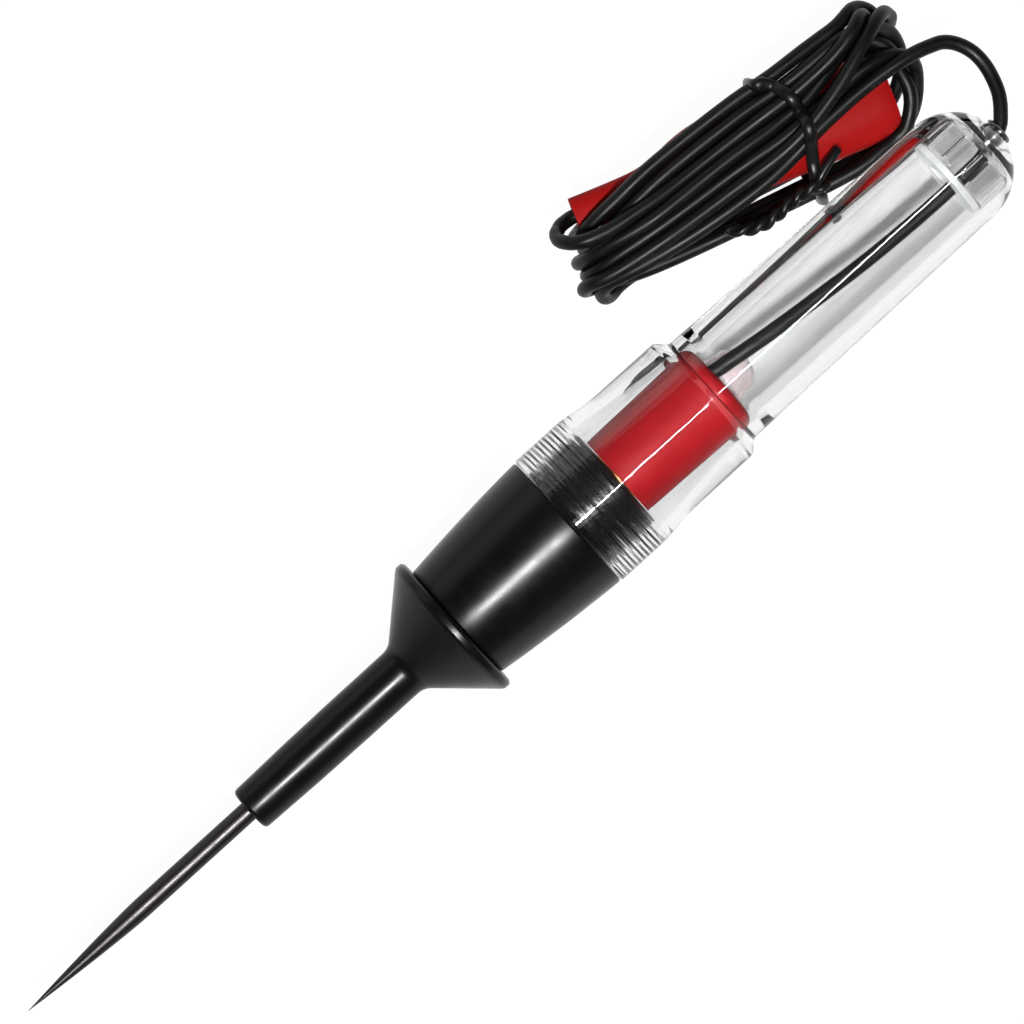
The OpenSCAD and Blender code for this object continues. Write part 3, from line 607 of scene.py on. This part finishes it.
# ---- The nose ----
NEEDLE_R = 1.65
OGIVE_LENGTH = 24
OGIVE_POWER = 1.35  # higher is blunter
OGIVE_STEPS = 24
needle_profile = [(0, 0)]
for k in range(1, OGIVE_STEPS + 1):
    t = k / OGIVE_STEPS
    needle_profile.append((OGIVE_LENGTH * t, max(0.04, NEEDLE_R * (1 - (1 - t) ** OGIVE_POWER))))
needle_profile += [(46.6, NEEDLE_R), (46.6, 1.35), (99.65, 1.35), (99.65, 2.4), (100.45, 2.4), (100.9, 1.6),
                   (100.9, 0)]
needle = lathe("needle", needle_profile, "nose", "probe_steel", needle_steel, closed=False, sides=64)
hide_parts("probe_needle")

guard_profile = [
    (46.55, 1.5), (46.55, 3.78, 0.75), (50, 3.86), (57, 4.02), (66, 4.12), (79.3, 4.15, 3.0),
    (88.1, 12.25, 0.25), (88.6, 12.6, 0.25), (89.55, 12.6, 0.4), (89.95, 12.1, 0.3),
    (89.95, 4.0), (93, 4.0), (93, 1.5)]
guard = lathe("guard", guard_profile, "nose", "black_plastic", black_plastic, sides=192)
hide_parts("finger_guard")


THREAD_ROW = 0.12  # between a thread's rows of points
THREAD_FADE = 1.1  # how far from its ends a thread reaches its full height
CREST_AT = 113.95  # a crest of the barrel's thread


def thread_rows(first, last, plain, full):
    """A thread's profile points between two stations. It rises from plain to full and fades at its ends."""
    long = abs(last - first)
    n = int(long / THREAD_ROW)
    rows = []
    for k in range(n + 1):
        far = long * k / n
        fade = min(1, far / THREAD_FADE, (long - far) / THREAD_FADE)
        rows.append((first + (last - first) * k / n, (plain, plain + (full - plain) * fade)))
    return rows


BARREL_START, BARREL_LENGTH = 90.0, 23.15
BARREL_END = BARREL_START + BARREL_LENGTH
BARREL_START_R, BARREL_GROWS = 10.3, 1.95
BARREL_BULGE = 0.45  # how far its outline bows outwards from a cone
ROOT_R = 9.0  # the barrel's thread, between its root and its crest
barrel_profile = [(93.15, 1.5), (93.15, 4.05), (BARREL_START, 4.05), (BARREL_START, BARREL_START_R, 0.35)]
for k in range(1, 8):
    t = k / 8
    bulged = t + BARREL_BULGE * t * (1 - t)
    barrel_profile.append((BARREL_START + BARREL_LENGTH * t, BARREL_START_R + BARREL_GROWS * bulged))
barrel_profile += [
    (BARREL_END, BARREL_START_R + BARREL_GROWS, 0.4), (BARREL_END, ROOT_R),
    *thread_rows(113.4, 122.3, ROOT_R, 9.9), (122.4, ROOT_R), (122.6, ROOT_R, 0.3),
    (122.75, 8.5), (122.75, 5.2), (94.95, 5.2), (94.95, 1.5)]
barrel = lathe("barrel", barrel_profile, "nose", "black_plastic", black_plastic, sides=192, start=CREST_AT)
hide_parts("nose_barrel")

# ---- The handle ----
SHELL_ROOT_R = 10.2  # the collar's thread, between its root and its crest
DOME_TURN = 77.6  # degrees from the dome's edge to its hole
DOME_STEPS = 18
BORE_R, BORE_ROUND, BORE_END = 7.3, 3.4, 200.2
BORE_STEPS = 8
shell_profile = [
    (113.25, SHELL_ROOT_R), (113.25, 12.4, 0.35), (121.4, 12.4), (122.9, 12.33), (124.4, 12.15), (126.4, 11.85),
    (128, 11.7), (129.5, 11.65), (140.3, 11.6), (141.5, 11.6, 1.6), (143.1, 9.85, 1.6), (144.4, 9.84),
    (192.5, 9.31), (DOME_AT, DOME_R)]
for k in range(1, DOME_STEPS + 1):
    t = math.radians(DOME_TURN * k / DOME_STEPS)
    shell_profile.append((DOME_AT + DOME_R * math.sin(t), DOME_R * math.cos(t)))
shell_profile += [(BORE_END, 2.05), (BORE_END, 3.9)]
for k in range(1, BORE_STEPS + 1):
    t = math.radians(90 - 90 * k / BORE_STEPS)
    shell_profile.append((196.8 + BORE_ROUND * math.sin(t), 3.9 + BORE_ROUND * math.cos(t)))
shell_profile += [
    (147.6, BORE_R, 3), (145.6, 7.85, 1), (142.45, 7.85, 0.15), (142.45, 8.5, 0.3), (124.0, 10.0, 0.3),
    (123.45, SHELL_ROOT_R), *thread_rows(122.9, 113.6, SHELL_ROOT_R, 9.95)]
shell = lathe("shell", shell_profile, "handle", "clear_plastic", clear_plastic, sides=256, angle=40,
              start=CREST_AT + PITCH / 2)
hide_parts("handle_shell")
shell.visible_shadow = False

# The lead inside the handle: the station, and how far it is across and above the axis
INNER_ROUTE = [
    (136, 2.4, 4.95), (140, 2.4, 4.95), (145, 2, 4.95), (150, 1.3, 4.9), (156, 0.6, 4.3), (163, -0.1, 3.3),
    (174, -1.05, 1.7), (183, -1.5, 0.6), (191, -1.6, 0.1), (196.5, -1.4, 0), (199.6, -0.7, 0),
    (201.6, -0.15, 0), (203.1, 0, 0)]
inner_line = through([(s + POINT_X, y, AXIS_Z + z) for s, y, z in INNER_ROUTE], 0.8)
inner = mesh_piece("inner_wire", *tube_mesh(inner_line, LEAD_R, 20), "handle", "lead_pvc", lead_vinyl, 60)
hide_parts("inner_lead")

eyelet_profile = [
    (199.3, 1.5), (199.3, 1.85), (203.02, 1.85), (203.02, 2.35, 0.12), (203.35, 2.35, 0.2), (203.65, 2.0, 0.15),
    (203.65, 1.5)]
eyelet = lathe("eyelet", eyelet_profile, "handle", "eyelet_metal", dark_nickel, sides=64)
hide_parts("exit_eyelet")

# ---- CAD pieces that keep their shape ----
CAD_LOOKS = {
    "needle_bush": brass, "contact_cup": brass, "contact_spring": spring_steel, "lamp_holder": red_plastic,
    "contact_sleeve": brass, "lamp_button": dull_solder, "lamp_insulator": black_glass, "lamp_base": brass,
    "lamp_glass": lamp_clear, "lamp_filament": spring_steel, "lead_core": copper, "solder_joint": dull_solder,
    "lead_washer": pale_plastic, "cord_bush": bush_plastic,
    "clip_fixed_jaw": plated_steel, "clip_moving_jaw": plated_steel, "clip_rivet": plated_steel,
    "clip_spring": spring_steel,
}
NO_SHADOW = ("lead_washer", "cord_bush", "lamp_glass")
for node, material in CAD_LOOKS.items():
    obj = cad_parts[node]
    obj.data.materials.clear()
    obj.data.materials.append(material)
    obj.visible_shadow = node not in NO_SHADOW

# ---- Floor and light ----
floor_mesh = bpy.data.meshes.new("floor")
floor_mesh.from_pydata([(-3, -3, 0), (3, -3, 0), (3, 3, 0), (-3, 3, 0)], [], [(0, 1, 2, 3)])
floor_white = new_material(
    "floor", (0.15, 0.15, 0.15), 0.8, Emission_Color=(1, 1, 1, 1), Specular_IOR_Level=0.0)
nodes, links = floor_white.node_tree.nodes, floor_white.node_tree.links


def ramp(source, first, last, low, high):
    """Goes smoothly from low to high as source goes from first to last."""
    node = nodes.new("ShaderNodeMapRange")
    node.interpolation_type = "SMOOTHSTEP"
    for key, value in (("From Min", first), ("From Max", last), ("To Min", low), ("To Max", high)):
        node.inputs[key].default_value = value
    links.new(source, node.inputs["Value"])
    return node.outputs["Result"]


def combined(kind, a, b=None):
    """A Math node's result of one or two sources."""
    node = nodes.new("ShaderNodeMath")
    node.operation = kind
    links.new(a, node.inputs[0])
    if b is not None:
        links.new(b, node.inputs[1])
    return node.outputs["Value"]


# Painted shade under the clear handle: there the floor glows far less and takes more light, so it is painted
# darker and the wire's cast shadow shows on it
floor_split = nodes.new("ShaderNodeSeparateXYZ")
links.new(nodes.new("ShaderNodeTexCoord").outputs["Object"], floor_split.inputs["Vector"])
along, across = floor_split.outputs["X"], combined("ABSOLUTE", floor_split.outputs["Y"])
painted_shade = combined("MULTIPLY", ramp(across, 0.0076, 0.0096, 1, 0),
                 combined("MULTIPLY", ramp(along, 0.02, 0.034, 0, 1), ramp(along, 0.089, 0.098, 1, 0)))
# painted shade: the floor's glow drops from 0.97 to 0.05 under the handle, and its colour rises from 0.06 to
# 0.33
links.new(ramp(painted_shade, 0, 1, 0.97, 0.05), nodes["Principled BSDF"].inputs["Emission Strength"])
links.new(ramp(painted_shade, 0, 1, 0.06, 0.33), nodes["Principled BSDF"].inputs["Base Color"])
floor_mesh.materials.append(floor_white)
floor = bpy.data.objects.new("floor", floor_mesh)
bpy.context.scene.collection.objects.link(floor)

# A dim sky, lighter towards the horizon
world = bpy.data.worlds.new("world")
world.use_nodes = True
nodes, links = world.node_tree.nodes, world.node_tree.links
sky_where = nodes.new("ShaderNodeTexCoord")
sky_split = nodes.new("ShaderNodeSeparateXYZ")
sky_ramp = nodes.new("ShaderNodeMapRange")
sky_ramp.inputs["From Min"].default_value, sky_ramp.inputs["From Max"].default_value = 0.0, 0.5
sky_ramp.inputs["To Min"].default_value, sky_ramp.inputs["To Max"].default_value = 0.4, 0.1
links.new(sky_where.outputs["Generated"], sky_split.inputs["Vector"])
links.new(sky_split.outputs["Z"], sky_ramp.inputs["Value"])
links.new(sky_ramp.outputs["Result"], nodes["Background"].inputs["Color"])
bpy.context.scene.world = world


def area_light(name, direction, distance, size, radiance):
    """A soft box that looks at the tool's middle. Its size is along X and across it."""
    data = bpy.data.lights.new(name, "AREA")
    data.shape = "RECTANGLE"
    data.size, data.size_y = size
    data.energy = radiance * math.pi * size[0] * size[1]
    obj = bpy.data.objects.new(name, data)
    bpy.context.scene.collection.objects.link(obj)
    away = Vector(direction).normalized()
    obj.location = Vector((*VIEW_CENTRE, AXIS_Z * MM)) + away * distance
    x = Vector((1, 0, 0))
    y = away.cross(x).normalized()
    obj.rotation_euler = Matrix((x, y, y.cross(x) * -1)).transposed().to_euler()


KEY_TILT = math.radians(11.5)
for name, x, distance, size, radiance in (
    ("key", -0.155, 0.75, (0.18, 0.036), 330),
    ("key_tail", 0.19, 0.76, (0.31, 0.018), 75),
    ("glow", -0.21, 0.78, (0.28, 0.2), 2.4),
):
    area_light(name, (x, -math.sin(KEY_TILT), math.cos(KEY_TILT)), distance, size, radiance)
area_light("side", (0.1, 1.0, 0.45), 0.9, (1.2, 0.5), 0.9)
